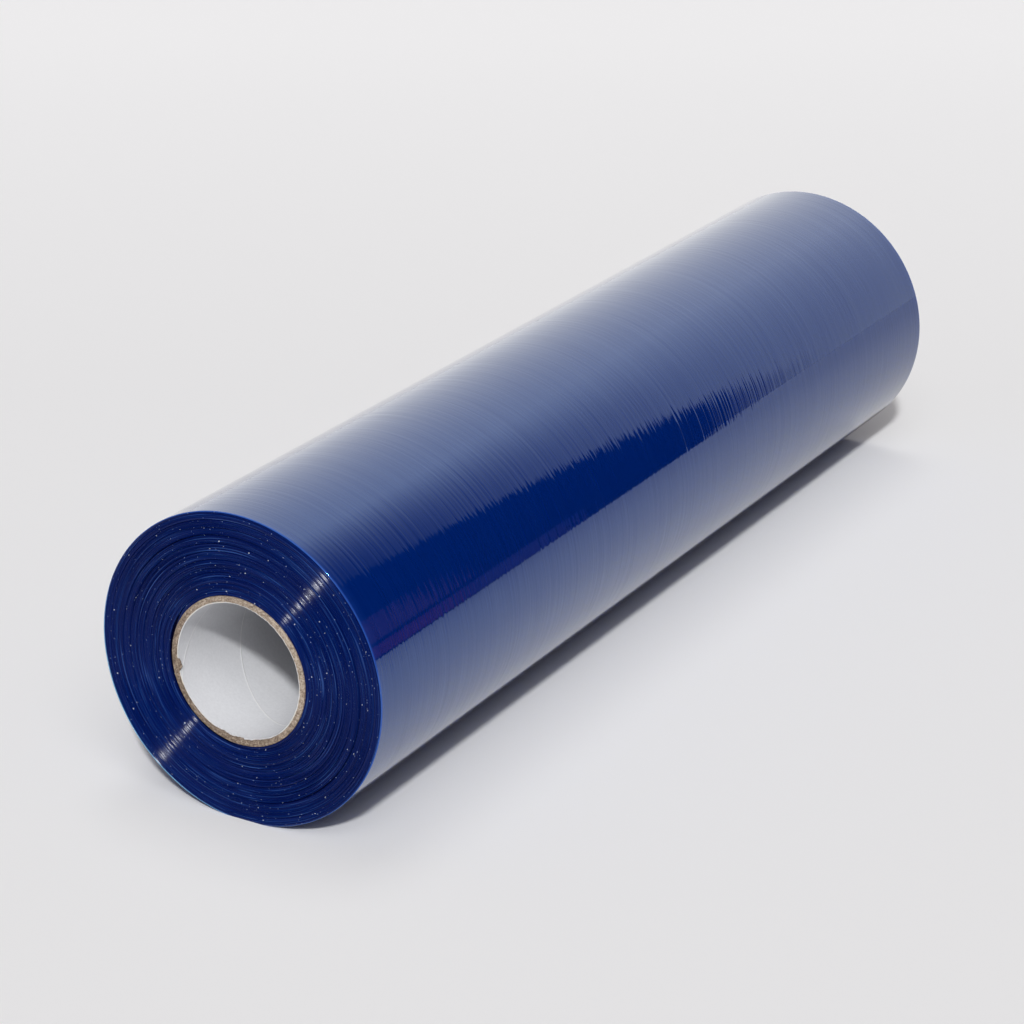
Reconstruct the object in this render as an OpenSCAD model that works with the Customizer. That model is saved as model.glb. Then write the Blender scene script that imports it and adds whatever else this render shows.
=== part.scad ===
// Roll of blue protective film wound on a cardboard core with a white paper liner.
// It lies on its side along Y, on the flat that its own weight presses into it.
// The origin is the middle of that flat, and the end with the torn liner faces -Y.

/* [Film] */
// Diameter over the outermost turn
roll_d = 115; // [90:1:180]
// Width of the film, which is the length of the wound roll
film_w = 450; // [200:10:600]
// Width of the flat that the roll rests on
flat_w = 16; // [12:1:24]
// Radius of the rounded edge of the outermost turn
rim_r = 0.3; // [0.1:0.1:1]

/* [Core] */
// Bore of the core
bore_d = 50; // [38:1:76]
// Thickness of the white paper liner
liner_t = 0.35; // [0.2:0.05:1]
// Thickness of the brown board around the liner
board_t = 2; // [1:0.1:4]
// How far the core stands out of the film at each end
core_out = 1; // [0.5:0.1:5]
// Clearance between the liner, the board and the film around each other
ply_gap = 0.05; // [0.02:0.01:0.3]

/* [Turns on the end faces] */
// Radial width of one band of turns that were wound at the same place
band_w = 2.8; // [1.6:0.1:5]
// Width of the groove between two bands
groove_w = 0.5; // [0.2:0.1:0.8]
// Depth of that groove
groove_depth = 0.3; // [0.1:0.05:1]
// How far the bands wander in and out along the roll
band_shift = 0.2; // [0:0.05:0.4]
// Width of the first turns, which stand out next to the core
start_w = 1.3; // [1:0.1:3]
// How far the first turns stand out of the face
start_out = 0.35; // [0:0.05:0.45]
// Distance of the deep groove from the outermost turn
deep_groove_in = 7.5; // [5:0.5:12]
// Depth of the deep groove
deep_groove_depth = 0.9; // [0.3:0.1:2]

/* [Torn places of the liner] */
// Angles around the core at which the liner is torn, seen from the torn end
tear_angles = [182, 269, 290]; // [0:1:360]
// Length of each tear along the edge of the liner
tear_w = 4; // [2:0.5:8]
// How far each tear runs into the bore
tear_depth = 1.5; // [0.5:0.1:2]

/* [Hidden] */

// Radii from the bore outwards
bore_r = bore_d / 2;
liner_r = bore_r + liner_t;
board_in_r = liner_r + ply_gap;
board_r = board_in_r + board_t;
wound_r = board_r + ply_gap;
roll_r = roll_d / 2;
core_len = film_w + 2 * core_out;

// Height of the roll's axis over the flat
axis_z = sqrt(roll_r * roll_r - flat_w * flat_w / 4);

// The bands fill the wound thickness between the first turns and the rounded rim
bands_r = wound_r + start_w;
bands_w = roll_r - rim_r - bands_r;
band_count = max(2, round(bands_w / band_w));
band_pitch = bands_w / band_count;
deep_band = round((bands_w - deep_groove_in) / band_pitch);

// A tear is an arc of a circle that reaches tear_w along the edge and tear_depth into the bore
tear_r = (tear_w * tear_w / 4 + tear_depth * tear_depth) / (2 * tear_depth);

// Facets of what is round
round_fn = 72;
tear_fn = 24;
rim_steps = 2;

// Overlap that makes a cut pass right through a surface
cut = 1;

// How far a band stands out of the face, a wander that looks irregular
function band_out(i) = band_shift * sin(i * 137);

// The groove before a band, deeper at one place
function groove_floor(i) = i == deep_band ? -deep_groove_depth : -groove_depth;

// Points of one end face from the core outwards, as [radius, height over the middle]
function first_turns(half) = [
    [wound_r, half + start_out],
    [bands_r - groove_w, half + start_out]
];
function band(i, half) = [
    [bands_r + i * band_pitch, half + groove_floor(i)],
    [bands_r + i * band_pitch + groove_w, half + band_out(i)],
    [bands_r + (i + 1) * band_pitch - groove_w / 2, half + band_out(i)]
];
function rim(half) = [
    for (step = [0 : rim_steps])
        let (turn = 90 * step / rim_steps)
            [roll_r - rim_r + rim_r * sin(turn), half - rim_r + rim_r * cos(turn)]
];
function end_face(half) = concat(
    first_turns(half),
    [for (i = [0 : band_count - 1]) each band(i, half)],
    rim(half)
);
function mirrored_end(points) = [
    for (i = [len(points) - 1 : -1 : 0]) [points[i][0], -points[i][1]]
];

// Places a shape made around Z on the roll's axis, its top end towards -Y
module on_roll_axis() {
    translate([0, 0, axis_z])
        rotate([90, 0, 0])
            children();
}

// A tube around Z, centred on the origin
module tube(outer_r, inner_r, length) {
    difference() {
        cylinder(r = outer_r, h = length, center = true, $fn = round_fn);
        cylinder(r = inner_r, h = length + 2 * cut, center = true, $fn = round_fn);
    }
}

// What is missing where the liner is torn off the board at the mouth, on the +X side
module tear() {
    translate([0, 0, core_len / 2 + tear_r - tear_depth])
        rotate([0, 90, 0])
            cylinder(r = tear_r, h = board_r, $fn = tear_fn);
}

// The wound film: all turns as one solid, with the flat it lies on
module film_roll() {
    face = end_face(film_w / 2);
    color("#1c3f94")
        intersection() {
            on_roll_axis()
                rotate_extrude($fn = round_fn)
                    polygon(concat(face, mirrored_end(face)));
            translate([-roll_d, -film_w, 0])
                cube([2 * roll_d, 2 * film_w, 2 * roll_d]);
        }
}

// The brown board of the core
module core_tube() {
    color("#a99a8b")
        on_roll_axis()
            tube(board_r, board_in_r, core_len);
}

// The white paper liner inside the board, torn at one end
module core_liner() {
    color("#d9dcdf")
        on_roll_axis()
            difference() {
                tube(liner_r, bore_r, core_len);
                for (angle = tear_angles)
                    rotate([0, 0, angle])
                        tear();
            }
}

film_roll();
core_tube();
core_liner();
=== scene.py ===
# A roll of glossy blue protective film on a cardboard core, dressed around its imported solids.
# The roll lies along Y with its torn core end towards -Y, as the solids do. All sizes are in metres.
import math
import random

import bmesh
import bpy
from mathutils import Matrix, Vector


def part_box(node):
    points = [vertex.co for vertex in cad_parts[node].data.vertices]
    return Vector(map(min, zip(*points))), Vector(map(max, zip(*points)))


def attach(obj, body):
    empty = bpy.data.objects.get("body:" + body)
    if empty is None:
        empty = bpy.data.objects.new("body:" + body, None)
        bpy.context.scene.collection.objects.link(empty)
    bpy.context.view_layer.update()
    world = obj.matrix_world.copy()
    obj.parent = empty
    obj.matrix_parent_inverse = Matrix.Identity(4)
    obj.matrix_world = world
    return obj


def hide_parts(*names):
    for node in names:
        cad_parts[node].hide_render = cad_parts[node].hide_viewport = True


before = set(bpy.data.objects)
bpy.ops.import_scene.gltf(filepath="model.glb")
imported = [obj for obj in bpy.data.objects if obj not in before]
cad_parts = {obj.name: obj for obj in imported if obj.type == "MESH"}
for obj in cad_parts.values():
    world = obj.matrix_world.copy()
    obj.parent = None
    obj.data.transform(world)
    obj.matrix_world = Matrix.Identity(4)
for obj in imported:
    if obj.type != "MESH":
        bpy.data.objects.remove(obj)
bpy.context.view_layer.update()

MM = 0.001
BODY = "root"

# Sizes taken from the solids
film_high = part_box("film_roll")[1]
board_low, board_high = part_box("core_tube")
paper_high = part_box("core_liner")[1]
AXIS_Z = (board_low[2] + board_high[2]) / 2
ROLL_R = film_high[0]
CORE_R = board_high[0]
LINER_R = paper_high[0]
CORE_END = board_high[1]

# Sizes repeated from the solids. The first tear and the depth of the deep groove differ a little
# from theirs, to come nearer to the photograph.
PLY_GAP = 0.05 * MM
LINER_T = 0.35 * MM
FILM_END = 225 * MM
BORE_R = LINER_R - LINER_T
BOARD_IN_R = LINER_R + PLY_GAP
WOUND_R = CORE_R + PLY_GAP
RIM_R = 0.3 * MM
START_W = 1.3 * MM
START_OUT = 0.35 * MM
BAND_COUNT = 10
BAND_SHIFT = 0.2 * MM
BAND_TURN = 137
GROOVE_W = 0.5 * MM
GROOVE_DEPTH = 0.3 * MM
DEEP_BAND = 7
DEEP_GROOVE_DEPTH = 0.5 * MM
BANDS_R = WOUND_R + START_W
BAND_PITCH = (ROLL_R - RIM_R - BANDS_R) / BAND_COUNT
TEAR_ANGLES = (186, 269, 290)
TEAR_W = 4 * MM
TEAR_DEPTH = 1.5 * MM

# The camera, found by fitting the roll's outline and its core to the photograph
CAMERA_PLACE = Vector((0.5413, -0.9674, 0.4845))
CAMERA_AZIMUTH = 30.31
CAMERA_ELEVATION = 22.0
CAMERA_LENS = 104.4
CAMERA_SENSOR = 36


def add_camera():
    data = bpy.data.cameras.new("camera")
    data.lens = CAMERA_LENS
    data.sensor_width = CAMERA_SENSOR
    camera = bpy.data.objects.new("camera", data)
    bpy.context.scene.collection.objects.link(camera)
    turn = math.radians(CAMERA_AZIMUTH)
    tilt = math.radians(CAMERA_ELEVATION)
    level = math.cos(tilt)
    aim = Vector((-math.sin(turn) * level, math.cos(turn) * level, -math.sin(tilt)))
    camera.location = CAMERA_PLACE
    camera.rotation_euler = aim.to_track_quat("-Z", "Y").to_euler()
    bpy.context.scene.camera = camera


# Small tools for colours and nodes
def linear(hex_colour):
    """The linear colour of an sRGB hex value such as 1c3f94."""
    parts = [int(hex_colour[i:i + 2], 16) / 255 for i in (0, 2, 4)]
    return [p / 12.92 if p <= 0.04045 else ((p + 0.055) / 1.055) ** 2.4 for p in parts] + [1.0]


def add(tree, kind, inputs=None, stops=None, **settings):
    """Adds a node with its settings, its inputs and its ramp's stops.

    An input is a value or another node's output."""
    node = tree.nodes.new(kind)
    for name, value in settings.items():
        setattr(node, name, value)
    for name, value in (inputs or {}).items():
        if isinstance(value, bpy.types.NodeSocket):
            tree.links.new(value, node.inputs[name])
        else:
            node.inputs[name].default_value = value
    if stops:
        bands = node.color_ramp.elements
        while len(bands) < len(stops):
            bands.new(0.5)
        for band, (place, colour) in zip(bands, stops):
            band.position = place
            band.color = linear(colour)
    return node


def new_material(name):
    """A material with an empty node tree."""
    material = bpy.data.materials.new(name)
    material.use_nodes = True
    material.node_tree.nodes.clear()
    return material, material.node_tree


def show(tree, shader):
    """Makes a shader the surface of its material."""
    add(tree, "ShaderNodeOutputMaterial", {"Surface": shader.outputs[0]})


def axis_place(tree):
    """Object coordinates from the roll's axis, their parts, and the way across the axis."""
    place = add(tree, "ShaderNodeTexCoord").outputs["Object"]
    centred = add(tree, "ShaderNodeMapping", {
        "Vector": place, "Location": (0, 0, -AXIS_Z)}).outputs[0]
    split = add(tree, "ShaderNodeSeparateXYZ", {"Vector": centred}).outputs
    across = add(tree, "ShaderNodeCombineXYZ", {"X": split["X"], "Z": split["Z"]}).outputs[0]
    return centred, split, across


# Polyethylene film stretched tight round the roll: glossy, with long hair-fine ribs that bend
# its reflections and streaks of haze that weaken them. The outermost turn reflects white.
# The turns under it add a blue reflection, as strong as one of IOR 1.95.
RIB_W = 1.7 * MM
RIB_L = 120 * MM
RIB_RISE = 0.034 * MM
STREAK_W = 0.75 * MM
STREAK_L = 45 * MM
STREAK_RISE = 0.008 * MM
HAZE_W = 0.5 * MM
HAZE_L = 70 * MM
BLUE_SHARE = 0.58
GLOW_W = 4.0 * MM


def film_side_material():
    material, tree = new_material("wound_polyethylene_film")
    centred, split, _ = axis_place(tree)
    noises = []
    for width, length, detail, roughness in (
            (RIB_W, RIB_L, 1.0, 0.4), (STREAK_W, STREAK_L, 0.0, 0.5), (HAZE_W, HAZE_L, 2.0, 0.6)):
        place = add(tree, "ShaderNodeMapping", {
            "Vector": centred, "Scale": (1 / length, 1 / width, 1 / length)}).outputs[0]
        noises.append(add(tree, "ShaderNodeTexNoise", {
            "Vector": place, "Scale": 1.0, "Detail": detail, "Roughness": roughness}).outputs[0])
    ribs, streaks, haze = noises
    rib_bump = add(tree, "ShaderNodeBump", {
        "Height": ribs, "Strength": 1.0, "Distance": RIB_RISE}).outputs[0]
    bump = add(tree, "ShaderNodeBump", {
        "Height": streaks, "Strength": 1.0, "Distance": STREAK_RISE, "Normal": rib_bump}).outputs[0]
    tone = add(tree, "ShaderNodeValToRGB", {"Fac": streaks}, [
        (0.35, "002068"), (0.65, "02226a")]).outputs[0]
    # Light that has come in through the cut edges makes the film glow next to both ends
    along = add(tree, "ShaderNodeMath", {0: split["Y"]}, operation="ABSOLUTE").outputs[0]
    inside = add(tree, "ShaderNodeMapRange", {
        "Value": along, "From Min": FILM_END, "From Max": FILM_END - GLOW_W}).outputs[0]
    glow = add(tree, "ShaderNodeValToRGB", {"Fac": inside}, [
        (0.0, "ffffff"), (0.1, "e0e0e0"), (0.2, "707070"), (1.0, "000000")]).outputs[0]
    colour = add(tree, "ShaderNodeMix", {
        0: glow, 6: tone, 7: linear("24489e")}, data_type="RGBA").outputs[2]
    # The haze takes up to 0.3 of both reflections
    gloss = add(tree, "ShaderNodeMapRange", {
        "Value": haze, "From Min": 0.3, "From Max": 0.7, "To Min": 0.7, "To Max": 1.0}).outputs[0]
    level = add(tree, "ShaderNodeMath", {0: gloss, 1: BLUE_SHARE}, operation="MULTIPLY").outputs[0]
    show(tree, add(tree, "ShaderNodeBsdfPrincipled", {
        "Base Color": colour, "Normal": bump, "Coat Normal": bump, "Roughness": 0.05, "IOR": 1.95,
        "Specular Tint": (0.1, 0.45, 1.0, 1.0), "Specular IOR Level": level,
        "Coat Weight": gloss, "Coat Roughness": 0.02, "Coat IOR": 1.5}))
    return material


# The slit edges of the turns: fine ridges round the core whose flanks shine, with a little dust.
# The patterns are a few turns wide, because one turn is only a few hundredths of a millimetre.
# LINE_CELLS and HAIR_CELLS are how many cells of the pattern one radian round the core passes.
LINE_W = 0.45 * MM
LINE_RISE = 0.06 * MM
LINE_CELLS = 1.2
HAIR_W = 0.22 * MM
HAIR_RISE = 0.03 * MM
HAIR_CELLS = 2.5
LIP_W = 0.35 * MM
PALE_LIP_W = 0.5 * MM
PALE_WAY = (-0.82, 0.0, -0.57)
GAP_SHADE_FROM = 0.2 * MM
# Size of a cell, greatest radius of the speck in it, and colour of the speck.
# CLEAN_SHARE is the share of the cells that hold no speck.
DUST = ((2.0 * MM, 0.26 * MM, "c4ccd8"), (1.1 * MM, 0.17 * MM, "8496bc"))
CLEAN_SHARE = 0.45


def film_end_material():
    material, tree = new_material("slit_film_edges")
    centred, split, across = axis_place(tree)
    radius = add(tree, "ShaderNodeVectorMath", {0: across}, operation="LENGTH").outputs["Value"]
    arc = add(tree, "ShaderNodeVectorMath", {0: across}, operation="NORMALIZE").outputs[0]
    heights = []
    for width, cells in ((LINE_W, LINE_CELLS), (HAIR_W, HAIR_CELLS)):
        along = add(tree, "ShaderNodeVectorMath", {
            0: arc, "Scale": cells}, operation="SCALE").outputs[0]
        turns = add(tree, "ShaderNodeMath", {0: radius, 1: width}, operation="DIVIDE").outputs[0]
        rings = add(tree, "ShaderNodeCombineXYZ", {"Y": turns}).outputs[0]
        place = add(tree, "ShaderNodeVectorMath", {0: along, 1: rings}, operation="ADD").outputs[0]
        heights.append(add(tree, "ShaderNodeTexNoise", {
            "Vector": place, "Scale": 1.0, "Detail": 1.0, "Roughness": 0.6}).outputs[0])
    lines, hairs = heights
    line_bump = add(tree, "ShaderNodeBump", {
        "Height": lines, "Strength": 1.0, "Distance": LINE_RISE}).outputs[0]
    bump = add(tree, "ShaderNodeBump", {
        "Height": hairs, "Strength": 1.0, "Distance": HAIR_RISE, "Normal": line_bump}).outputs[0]
    both = add(tree, "ShaderNodeMath", {0: lines, 1: hairs}, operation="ADD").outputs[0]
    fine = add(tree, "ShaderNodeMapRange", {
        "Value": both, "From Min": 0.5, "From Max": 1.5}).outputs[0]
    tone = add(tree, "ShaderNodeValToRGB", {"Fac": fine}, [
        (0.3, "03134b"), (0.6, "061b56"), (0.7, "0c2762"), (0.82, "2c4884")]).outputs[0]
    # Light comes through the outermost turns, most of it at the lower left
    round_place = add(tree, "ShaderNodeVectorMath", {0: arc, 1: PALE_WAY}, operation="DOT_PRODUCT")
    pale_part = add(tree, "ShaderNodeMapRange", {
        "Value": round_place.outputs["Value"], "From Min": 0.5, "From Max": 0.9}).outputs[0]
    lip_from = add(tree, "ShaderNodeMath", {
        0: pale_part, 1: -PALE_LIP_W, 2: ROLL_R - LIP_W}, operation="MULTIPLY_ADD").outputs[0]
    lip_to = add(tree, "ShaderNodeMath", {0: lip_from, 1: LIP_W / 2}, operation="ADD").outputs[0]
    lip = add(tree, "ShaderNodeMapRange", {
        "Value": radius, "From Min": lip_from, "From Max": lip_to}).outputs[0]
    lip_tone = add(tree, "ShaderNodeMix", {
        0: pale_part, 6: linear("2c5cae"), 7: linear("7ab4dc")}, data_type="RGBA").outputs[2]
    # Little light reaches the gap beside the core
    depth = add(tree, "ShaderNodeMath", {0: split["Y"]}, operation="ABSOLUTE").outputs[0]
    shade = add(tree, "ShaderNodeMapRange", {
        "Value": depth, "From Min": FILM_END - GAP_SHADE_FROM,
        "From Max": FILM_END - CREVICE_DEPTH / 2}).outputs[0]
    turned = add(tree, "ShaderNodeMix", {
        0: shade, 6: tone, 7: linear("080824")}, data_type="RGBA").outputs[2]
    colour = add(tree, "ShaderNodeMix", {0: lip, 6: turned, 7: lip_tone}, data_type="RGBA").outputs[2]
    # Specks of dust: one in some cells of a Voronoi pattern, smaller than its cell
    for cell, speck_r, dust_colour in DUST:
        cells = add(tree, "ShaderNodeTexVoronoi", {"Vector": centred, "Scale": 1 / cell}).outputs
        pick = add(tree, "ShaderNodeSeparateXYZ", {"Vector": cells["Color"]}).outputs[0]
        size = add(tree, "ShaderNodeMapRange", {
            "Value": pick, "From Min": CLEAN_SHARE, "From Max": 1.0,
            "To Min": 0.0, "To Max": speck_r / cell}).outputs[0]
        speck = add(tree, "ShaderNodeMath", {
            0: cells["Distance"], 1: size}, operation="LESS_THAN").outputs[0]
        colour = add(tree, "ShaderNodeMix", {
            0: speck, 6: colour, 7: linear(dust_colour)}, data_type="RGBA").outputs[2]
    # Gloss spreads across the turns and hardly along them
    show(tree, add(tree, "ShaderNodeBsdfPrincipled", {
        "Base Color": colour, "Normal": bump, "Tangent": arc,
        "Roughness": 0.2, "Anisotropic": 1.0, "IOR": 1.2}))
    return material


# Grey-brown core board, cut square: matt, with pale and dark fibres in its rough cut.
# The cut is painted paler at the upper right, towards the lamp, and darker at the lower left: painted
# light.
FIBRE_W = 0.5 * MM
FIBRE_RISE = 0.15 * MM
GRIT_CELL = 0.6 * MM
GRIT_SHARE = 0.3
PAINTED_LIGHT_WAY = (0.77, 0.0, 0.64)
PAINTED_LIGHT_SHARE = 0.11


def board_material():
    material, tree = new_material("core_board")
    centred, _, across = axis_place(tree)
    fibres = add(tree, "ShaderNodeTexNoise", {
        "Vector": centred, "Scale": 1 / FIBRE_W, "Detail": 3.0, "Roughness": 0.7}).outputs[0]
    grit = add(tree, "ShaderNodeTexVoronoi", {
        "Vector": centred, "Scale": 1 / GRIT_CELL}).outputs["Color"]
    pick = add(tree, "ShaderNodeSeparateXYZ", {"Vector": grit}).outputs[0]
    both = add(tree, "ShaderNodeMath", {
        0: pick, 1: GRIT_SHARE, 2: fibres}, operation="MULTIPLY_ADD").outputs[0]
    # Painted light: the cut's tone is raised towards the lamp at the upper right and lowered at the
    # lower left
    side = add(tree, "ShaderNodeVectorMath", {0: across, 1: PAINTED_LIGHT_WAY}, operation="DOT_PRODUCT")
    fibres_and_painted_light = add(tree, "ShaderNodeMath", {
        0: side.outputs["Value"], 1: PAINTED_LIGHT_SHARE / CORE_R, 2: both},
        operation="MULTIPLY_ADD").outputs[0]
    tone = add(tree, "ShaderNodeValToRGB", {"Fac": fibres_and_painted_light}, [
        (0.4, "64564a"), (0.55, "807062"), (0.7, "9a8a7a"), (0.85, "bcae9e")]).outputs[0]
    bump = add(tree, "ShaderNodeBump", {
        "Height": fibres, "Strength": 1.0, "Distance": FIBRE_RISE}).outputs[0]
    show(tree, add(tree, "ShaderNodeBsdfPrincipled", {
        "Base Color": tone, "Normal": bump, "Roughness": 0.9, "Specular IOR Level": 0.2}))
    return material


# White machine-finished paper that lines the core, wound in a spiral whose seams show as
# pale raised lines. SEAM_STARTS are their distances from the near end at the angle 0.
GRAIN_W = MM / 0.9
SEAM_LEAD = 86 * MM
SEAM_STARTS = (48.0 * MM, 82.7 * MM)
SEAM_W = 0.5 * MM
SEAM_RISE = 0.1 * MM
SEAM_SHARE = 0.5
CUT_EDGE_W = 0.4 * MM


def paper_material():
    material, tree = new_material("white_liner_paper")
    centred, split, _ = axis_place(tree)
    angle = add(tree, "ShaderNodeMath", {0: split["Z"], 1: split["X"]}, operation="ARCTAN2").outputs[0]
    fibres = add(tree, "ShaderNodeTexNoise", {
        "Vector": centred, "Scale": 1 / GRAIN_W, "Detail": 4.0, "Roughness": 0.6}).outputs[0]
    tone = add(tree, "ShaderNodeValToRGB", {"Fac": fibres}, [
        (0.3, "d4d5d8"), (0.7, "dcdde0")]).outputs[0]
    seams = 0.0
    for start in SEAM_STARTS:
        shift = (CORE_END - start) / SEAM_LEAD
        turn = add(tree, "ShaderNodeMath", {
            0: angle, 1: 0.5 / math.pi, 2: shift}, operation="MULTIPLY_ADD").outputs[0]
        depth = add(tree, "ShaderNodeMath", {
            0: split["Y"], 1: 1 / SEAM_LEAD, 2: turn}, operation="MULTIPLY_ADD").outputs[0]
        part = add(tree, "ShaderNodeMath", {0: depth}, operation="FRACT").outputs[0]
        middle = add(tree, "ShaderNodeMath", {0: part, 1: 0.5}, operation="SUBTRACT").outputs[0]
        away = add(tree, "ShaderNodeMath", {0: middle}, operation="ABSOLUTE").outputs[0]
        line = add(tree, "ShaderNodeMapRange", {
            "Value": away, "From Min": 0.5 - SEAM_W / SEAM_LEAD, "From Max": 0.5}).outputs[0]
        seams = add(tree, "ShaderNodeMath", {0: line, 1: seams}, operation="MAXIMUM").outputs[0]
    raised = add(tree, "ShaderNodeMath", {0: seams, 1: SEAM_SHARE}, operation="MULTIPLY").outputs[0]
    lined = add(tree, "ShaderNodeMix", {
        0: raised, 6: tone, 7: linear("f4f4f2")}, data_type="RGBA").outputs[2]
    # The cut edge is cream, because no white coating covers it
    inwards = add(tree, "ShaderNodeMath", {0: split["Y"], 1: CORE_END}, operation="ADD").outputs[0]
    edge = add(tree, "ShaderNodeMapRange", {
        "Value": inwards, "From Min": 0.0, "From Max": CUT_EDGE_W,
        "To Min": 1.0, "To Max": 0.0}).outputs[0]
    colour = add(tree, "ShaderNodeMix", {
        0: edge, 6: lined, 7: linear("ded2ba")}, data_type="RGBA").outputs[2]
    bump = add(tree, "ShaderNodeBump", {
        "Height": seams, "Strength": 1.0, "Distance": SEAM_RISE}).outputs[0]
    show(tree, add(tree, "ShaderNodeBsdfPrincipled", {
        "Base Color": colour, "Normal": bump, "Roughness": 0.75, "Specular IOR Level": 0.3}))
    return material


# Pieces
MERGE_DISTANCE = 1e-7
SHARP_ANGLE = 35


def piece_from(bm, name, materials):
    """Turns a bmesh into an object that rides on the roll."""
    bmesh.ops.remove_doubles(bm, verts=bm.verts, dist=MERGE_DISTANCE)
    bmesh.ops.recalc_face_normals(bm, faces=bm.faces)
    mesh = bpy.data.meshes.new(name)
    bm.to_mesh(mesh)
    bm.free()
    for material in materials:
        mesh.materials.append(material)
    for face in mesh.polygons:
        face.use_smooth = True
    mesh.set_sharp_from_angle(angle=math.radians(SHARP_ANGLE))
    piece = bpy.data.objects.new(name, mesh)
    bpy.context.scene.collection.objects.link(piece)
    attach(piece, BODY)
    return piece


def wind(outline_at, steps):
    """A closed ring round the roll's axis, from its closed outline of (radius, y) at each angle."""
    bm = bmesh.new()
    rings = []
    for i in range(steps):
        angle = 360 * i / steps
        way = math.radians(angle)
        rings.append([
            bm.verts.new((r * math.cos(way), y, AXIS_Z + r * math.sin(way)))
            for r, y in outline_at(angle)])
    for ring, after in zip(rings, rings[1:] + rings[:1]):
        for k in range(len(ring)):
            bm.faces.new((ring[k - 1], ring[k], after[k], after[k - 1]))
    return bm


def smooth_step(x):
    """Rises smoothly from 0 to 1 while x does."""
    x = min(max(x, 0.0), 1.0)
    return x * x * (3 - 2 * x)


def waves(angle, shape):
    """A smooth wander round the roll, between -1 and 1, from (count, share, start) waves."""
    return sum(share * math.sin(math.radians(count * angle + start)) for count, share, start in shape)


def turn_between(angle, middle):
    """The angle in degrees between two directions."""
    return abs((angle - middle + 180) % 360 - 180)


# The wound film, with ridges a few turns wide on its end faces.
# A gap opens beside the core at both ends, widest at CREVICE_ANGLE.
FILM_STEPS = 300
SIDE_STEPS = 16
RIM_STEPS = 3
NEAR_SEED = 11
FAR_SEED = 12
RIDGE_W = (0.12 * MM, 0.34 * MM)
RIDGE_SLOPE = (0.9, 1.9)
RIDGE_RISE = 0.2 * MM
CREVICE_W = 1.7 * MM
CREVICE_DEPTH = 1.6 * MM
CREVICE_ANGLE = 205
CREVICE_SPAN = 75


def groove_floor(band):
    """The floor of the groove before a band."""
    return -DEEP_GROOVE_DEPTH if band == DEEP_BAND else -GROOVE_DEPTH


def face_height(r):
    """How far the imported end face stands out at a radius: first turns, bands and grooves."""
    if r < BANDS_R - GROOVE_W:
        return START_OUT
    if r < BANDS_R:
        return START_OUT - (START_OUT + GROOVE_DEPTH) * (r - BANDS_R + GROOVE_W) / GROOVE_W
    band = min(int((r - BANDS_R) / BAND_PITCH), BAND_COUNT - 1)
    out = BAND_SHIFT * math.sin(math.radians(band * BAND_TURN))
    rise = (r - BANDS_R - band * BAND_PITCH) / GROOVE_W
    fall = (BANDS_R + (band + 1) * BAND_PITCH - r) / (GROOVE_W / 2)
    if rise < 1:
        return groove_floor(band) + (out - groove_floor(band)) * rise
    if fall < 1 and band + 1 < BAND_COUNT:
        return groove_floor(band + 1) + (out - groove_floor(band + 1)) * fall
    return out


def ridges(seed):
    """The ridges of one end face from core to rim: (radius, height, swing, wave shape)."""
    dice = random.Random(seed)
    found = []
    r = WOUND_R + RIDGE_W[0]
    swing = 0.0
    side = 1
    while r < ROLL_R - RIM_R:
        shape = [(dice.randint(1, 9), 0.5, dice.uniform(0, 360)) for _ in range(2)]
        found.append((r, face_height(r), swing, shape))
        width = dice.uniform(*RIDGE_W)
        swing += side * dice.uniform(*RIDGE_SLOPE) * width
        swing = max(-RIDGE_RISE, min(RIDGE_RISE, swing))
        r += width
        side = -side
    return found


def face_line(found, angle):
    """Points of one end face at an angle, from core to rim: (radius, distance out of the end)."""
    away = turn_between(angle, CREVICE_ANGLE) / CREVICE_SPAN
    open_part = smooth_step(1.5 - 1.5 * away)
    points = [(WOUND_R, START_OUT - (START_OUT + CREVICE_DEPTH) * open_part)]
    for r, height, swing, shape in found:
        out = height + swing * (0.75 + 0.25 * waves(angle, shape))
        if r < WOUND_R + CREVICE_W:
            out -= (out + CREVICE_DEPTH) * open_part
        points.append((r, out))
    for step in range(RIM_STEPS + 1):
        turn = math.radians(90 * step / RIM_STEPS)
        points.append((ROLL_R - RIM_R + RIM_R * math.sin(turn), RIM_R * math.cos(turn) - RIM_R))
    return points


def wound_film():
    near = ridges(NEAR_SEED)
    far = ridges(FAR_SEED)
    side_end = FILM_END - RIM_R - RIM_R
    side_places = [side_end * (2 * i / SIDE_STEPS - 1) for i in range(SIDE_STEPS + 1)]

    def outline(angle):
        points = [(r, -FILM_END - out) for r, out in face_line(near, angle)]
        points += [(ROLL_R, y) for y in side_places]
        return points + [(r, FILM_END + out) for r, out in reversed(face_line(far, angle))]

    bm = wind(outline, FILM_STEPS)
    side_from = ROLL_R - RIM_R / 2
    for face in bm.faces:
        place = face.calc_center_median()
        face.material_index = 0 if math.hypot(place.x, place.z - AXIS_Z) > side_from else 1
    flatten(bm)
    film = piece_from(bm, "wound_film", [film_side_material(), film_end_material()])
    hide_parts("film_roll")


def flatten(bm):
    """Presses the turns flat where the roll lies, fully at the outside and less towards the core."""
    for vert in bm.verts:
        x = vert.co.x
        z = vert.co.z - AXIS_Z
        r = math.hypot(x, z)
        if z >= 0 or -z / r * ROLL_R <= AXIS_Z:
            continue
        short = 1 - AXIS_Z * r / (-z * ROLL_R)
        depth = smooth_step((r - WOUND_R) / (ROLL_R - WOUND_R))
        vert.co.x = x * (1 - short * depth)
        vert.co.z = AXIS_Z + z * (1 - short * depth)


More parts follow.
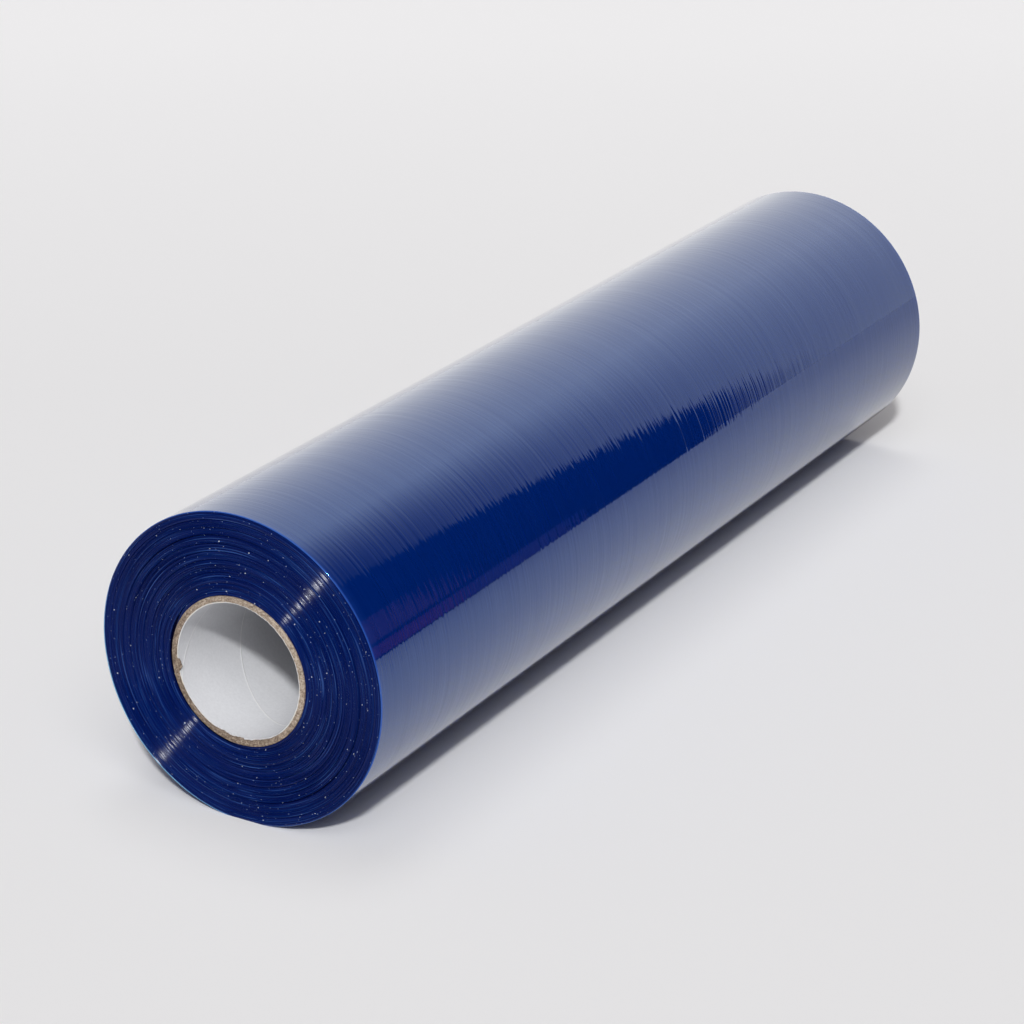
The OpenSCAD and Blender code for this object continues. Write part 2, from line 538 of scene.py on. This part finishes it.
# The core, with its near mouth frayed: the liner is torn, its edge is ragged, and a lump of
# fibres stands into the bore. Angles are in degrees round the axis, from +X towards +Z.
CORE_STEPS = 360
BOARD_SEED = 5
FRAY_LOW = 245
FRAY_HIGH = 312
FRAY_BLEND = 8
FRAY_DEPTH = 1.0 * MM
LUMP_ANGLE = 187
LUMP_W = 6.0 * MM
LUMP_RISE = 1.4 * MM
LUMP_DEPTH = 1.3 * MM
RAGGED = 0.2 * MM
LINER_IN = 0.1 * MM
LINER_RING = 10 * MM
BORE_ROUGH = 0.05 * MM
CUT_ROUGH = 0.1 * MM
INNER_ROUGH = 0.25 * MM
EDGE_W = 0.15 * MM
SLOW_WAVES = [(5, 0.4, 20), (11, 0.35, 200), (19, 0.25, 90)]
QUICK_WAVES = [(37, 0.4, 10), (61, 0.35, 140), (89, 0.25, 250)]


def arc_from(angle, middle):
    """The distance along the bore's edge between two angles."""
    return math.radians(turn_between(angle, middle)) * BORE_R


def liner_recess(angle):
    """How far the liner's near edge lies inside the core's end."""
    slow = waves(angle, SLOW_WAVES)
    quick = waves(angle, QUICK_WAVES)
    recess = LINER_IN + RAGGED * (1 + 0.5 * slow + 0.5 * quick)
    fray = smooth_step((angle - FRAY_LOW) / FRAY_BLEND)
    fray *= smooth_step((FRAY_HIGH - angle) / FRAY_BLEND)
    recess += FRAY_DEPTH * fray * (0.8 + 0.5 * slow + 0.3 * quick)
    for middle in TEAR_ANGLES:
        tear = smooth_step(2 - 2 * arc_from(angle, middle) / (TEAR_W / 2))
        recess = max(recess, TEAR_DEPTH * tear)
    return recess


def core_board():
    dice = random.Random(BOARD_SEED)

    def outline(angle):
        lump = smooth_step(1.5 - 1.5 * arc_from(angle, LUMP_ANGLE) / (LUMP_W / 2))
        inner = BOARD_IN_R - LUMP_RISE * lump * (1 + 0.25 * waves(angle, QUICK_WAVES))
        inner += BORE_ROUGH * dice.random()
        points = [(BOARD_IN_R, LUMP_DEPTH - CORE_END), (inner, LUMP_DEPTH / 2 - CORE_END)]
        for r, rough in (
                (inner, INNER_ROUGH), (inner + EDGE_W, CUT_ROUGH),
                ((BOARD_IN_R + CORE_R) / 2, CUT_ROUGH), (CORE_R - EDGE_W, CUT_ROUGH)):
            points.append((r, rough * dice.random() - CORE_END))
        points.append((CORE_R, CUT_ROUGH * (1 + dice.random()) - CORE_END))
        return points + [(CORE_R, CORE_END), (BOARD_IN_R, CORE_END)]

    board = piece_from(wind(outline, CORE_STEPS), "core_board_tube", [board_material()])
    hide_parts("core_tube")


def liner_paper():
    def outline(angle):
        near = liner_recess(angle) - CORE_END
        ring = LINER_RING - CORE_END
        far = CORE_END - LINER_IN
        return [
            (BORE_R, ring), (BORE_R, near), (LINER_R, near),
            (LINER_R, ring), (LINER_R, far), (BORE_R, far)]

    paper = piece_from(wind(outline, CORE_STEPS), "liner_paper_ply", [paper_material()])
    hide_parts("core_liner")


# The studio: a pale floor, a small lamp high on the right and two soft lights.
# A pale wall, a dark room beside it and a grey floor are there for the film's gloss only.
FLOOR_HALF = 9.0
FLOOR_WAY = (-0.505, 0.863, 0.0)
FLOOR_TONES = [(0.25, "f0f0f0"), (0.8, "f7f7f7"), (1.0, "fafafa")]
LAMP_WAY = Vector((0.385, -0.672, 0.669))
LAMP_LEVEL = 2.17
LAMP_WIDTH = 4.0
SOFT_LIGHTS = (
    ("front_softbox", Vector((0.528, -0.71, 1.0)), 0.86, 40),
    ("ceiling_softbox", Vector((-0.119, 0.186, 1.0)), 0.378, 27))
FILL_LEVEL = 0.12
WORLD_LEVEL = 1.0

# The pale wall stands across Y. It gets dimmer to the right of X = 0 and at its upper right corner.
WALL_Y = 1.7
WALL_LEFT = -4.0
WALL_EDGE = 1.055
WALL_RIGHT = 1.14
WALL_TOP = 3.0
WALL_LEVEL = 0.959
WALL_DROP = -0.461
CORNER_LOW = 0.082
CORNER_SLOPE = 0.982
CORNER_FADE = (1.4, 2.574)
EDGE_BLUR_Z = (0.1, 0.4)
EDGE_BLUR = (0.07, 0.002)

# The floor's reflection, and what stands in the dark room, as (X, Y) places
GREY_FLOOR = [(0.02, -3), (3, -3), (3, 3), (0.02, 3)]
GREY_FLOOR_Z = 0.001
GREY_FLOOR_WAY = (0.5, 0.85, 0.0)
GREY_FLOOR_TONES = [(0.0, "e1e1e1"), (0.25, "d5d5d5"), (0.5, "c8c8c8"), (0.7, "c2c2c2")]
DARK_FLOOR = [(0.633, -4.0), (3.6, -4.0), (3.6, 2.0), (1.1, 1.7), (0.633, 0.93)]
DARK_FLOOR_Z = 0.002
DARK_ROOM = [(WALL_RIGHT, WALL_Y), (3.5, -0.6), (2.0, -4.0), (-2.5, -4.0), (-4.5, -1.0)]
DARK_ROOM_TOP = 3.5
RED_THINGS = (
    ((0.72, 0.66), (0.90, 0.48), 0.0, 0.105, "88406c"),
    ((0.65, 0.73), (0.72, 0.66), 0.0, 0.105, "584a70"),
    ((1.352, 1.473), (1.612, 1.22), 0.19, 0.62, "704866"))


def add_card(name, corners, material):
    """A flat card of the studio."""
    bm = bmesh.new()
    bm.faces.new([bm.verts.new(c) for c in corners])
    mesh = bpy.data.meshes.new(name)
    bm.to_mesh(mesh)
    bm.free()
    mesh.materials.append(material)
    card = bpy.data.objects.new(name, mesh)
    bpy.context.scene.collection.objects.link(card)
    return card


def only_reflected(card):
    """Keeps a card out of sight, of light and of shadow, so that only gloss shows it."""
    card.visible_camera = False
    card.visible_diffuse = False
    card.visible_transmission = False
    card.visible_shadow = False


def upright(left, right, bottom, top):
    """The corners of an upright card between two places on the floor."""
    return [(*left, bottom), (*right, bottom), (*right, top), (*left, top)]


def level_at(places, z):
    """The corners of a level card."""
    return [(*place, z) for place in places]


def floor_material(name, way, stops):
    """A matt floor whose tone changes along one way."""
    material, tree = new_material(name)
    place = add(tree, "ShaderNodeTexCoord").outputs["Object"]
    away = add(tree, "ShaderNodeVectorMath", {0: place, 1: way}, operation="DOT_PRODUCT")
    tone = add(tree, "ShaderNodeValToRGB", {"Fac": away.outputs["Value"]}, stops).outputs[0]
    show(tree, add(tree, "ShaderNodeBsdfPrincipled", {
        "Base Color": tone, "Roughness": 1.0, "Specular IOR Level": 0.0}))
    return material


def matt_material(name, hex_colour):
    """A matt surface of one colour."""
    material, tree = new_material(name)
    show(tree, add(tree, "ShaderNodeBsdfPrincipled", {
        "Base Color": linear(hex_colour), "Roughness": 1.0, "Specular IOR Level": 0.0}))
    return material


def wall_material():
    """A lit wall, dimmer to the right and at its upper right corner, whose edge is soft low down."""
    material, tree = new_material("lit_wall")
    place = add(tree, "ShaderNodeTexCoord").outputs["Object"]
    split = add(tree, "ShaderNodeSeparateXYZ", {"Vector": place}).outputs
    right = add(tree, "ShaderNodeMath", {0: split["X"], 1: 0.0}, operation="MAXIMUM").outputs[0]
    side = add(tree, "ShaderNodeMath", {
        0: right, 1: WALL_DROP, 2: WALL_LEVEL}, operation="MULTIPLY_ADD").outputs[0]
    above = add(tree, "ShaderNodeMath", {
        0: split["Z"], 1: CORNER_LOW}, operation="SUBTRACT").outputs[0]
    high = add(tree, "ShaderNodeMath", {0: above, 1: 0.0}, operation="MAXIMUM").outputs[0]
    corner = add(tree, "ShaderNodeMath", {
        0: high, 1: CORNER_SLOPE, 2: split["X"]}, operation="MULTIPLY_ADD").outputs[0]
    fade = add(tree, "ShaderNodeMapRange", {
        "Value": corner, "From Min": CORNER_FADE[0], "From Max": CORNER_FADE[1],
        "To Min": 1.0, "To Max": 0.0}, interpolation_type="SMOOTHSTEP").outputs[0]
    lit = add(tree, "ShaderNodeMath", {0: side, 1: fade}, operation="MULTIPLY").outputs[0]
    blur = add(tree, "ShaderNodeMapRange", {
        "Value": split["Z"], "From Min": EDGE_BLUR_Z[0], "From Max": EDGE_BLUR_Z[1],
        "To Min": EDGE_BLUR[0], "To Max": EDGE_BLUR[1]}).outputs[0]
    begin = add(tree, "ShaderNodeMath", {0: WALL_EDGE, 1: blur}, operation="SUBTRACT").outputs[0]
    end = add(tree, "ShaderNodeMath", {0: WALL_EDGE, 1: blur}, operation="ADD").outputs[0]
    edge = add(tree, "ShaderNodeMapRange", {
        "Value": split["X"], "From Min": begin, "From Max": end,
        "To Min": 1.0, "To Max": 0.0}).outputs[0]
    level = add(tree, "ShaderNodeMath", {0: lit, 1: edge}, operation="MULTIPLY").outputs[0]
    show(tree, add(tree, "ShaderNodeEmission", {"Color": linear("ffffff"), "Strength": level}))
    return material


def add_sun(name, way, level, width):
    """A distant lamp whose light comes from a way, as wide in the sky as its width in degrees."""
    data = bpy.data.lights.new(name, "SUN")
    data.energy = level
    data.angle = math.radians(width)
    lamp = bpy.data.objects.new(name, data)
    bpy.context.scene.collection.objects.link(lamp)
    lamp.rotation_euler = way.to_track_quat("Z", "Y").to_euler()
    return lamp


def add_studio():
    h = FLOOR_HALF
    add_card(
        "floor", level_at([(-h, -h), (h, -h), (h, h), (-h, h)], 0),
        floor_material("pale_studio_floor", FLOOR_WAY, FLOOR_TONES))
    only_reflected(add_card(
        "pale_wall", upright((WALL_LEFT, WALL_Y), (WALL_RIGHT, WALL_Y), 0, WALL_TOP),
        wall_material()))
    dark = matt_material("dark_room", "020204")
    only_reflected(add_card("dark_room_floor", level_at(DARK_FLOOR, DARK_FLOOR_Z), dark))
    only_reflected(add_card(
        "grey_floor", level_at(GREY_FLOOR, GREY_FLOOR_Z),
        floor_material("grey_studio_floor", GREY_FLOOR_WAY, GREY_FLOOR_TONES)))
    # Reddish things in the dark room, seen in the film as dim purple patches
    for i, (left, right, bottom, top, tone) in enumerate(RED_THINGS):
        only_reflected(add_card(
            "reddish_thing_%d" % i, upright(left, right, bottom, top),
            matt_material("dark_red_%d" % i, tone)))
    for i, (left, right) in enumerate(zip(DARK_ROOM, DARK_ROOM[1:])):
        only_reflected(add_card("dark_room_wall_%d" % i, upright(left, right, 0, DARK_ROOM_TOP), dark))
    add_sun("lamp", LAMP_WAY, LAMP_LEVEL, LAMP_WIDTH)
    for name, way, level, width in SOFT_LIGHTS:
        add_sun(name, way, level, width).visible_glossy = False


def add_world():
    """A dim fill for what is lit, and a pale world for the camera and for gloss."""
    world = bpy.data.worlds.new("pale_room")
    bpy.context.scene.world = world
    world.use_nodes = True
    tree = world.node_tree
    tree.nodes.clear()
    path = add(tree, "ShaderNodeLightPath").outputs
    seen = path["Is Camera Ray"]
    for name in ("Is Glossy Ray", "Is Transmission Ray"):
        seen = add(tree, "ShaderNodeMath", {0: seen, 1: path[name]}, operation="MAXIMUM").outputs[0]
    fill = add(tree, "ShaderNodeBackground", {
        "Color": linear("f4e9f2"), "Strength": FILL_LEVEL}).outputs[0]
    pale = add(tree, "ShaderNodeBackground", {
        "Color": linear("f0f0f0"), "Strength": WORLD_LEVEL}).outputs[0]
    mix = add(tree, "ShaderNodeMixShader", {"Fac": seen, 1: fill, 2: pale}).outputs[0]
    add(tree, "ShaderNodeOutputWorld", {"Surface": mix})


bpy.context.scene.view_settings.view_transform = "Standard"
add_camera()
wound_film()
core_board()
liner_paper()
add_studio()
add_world()
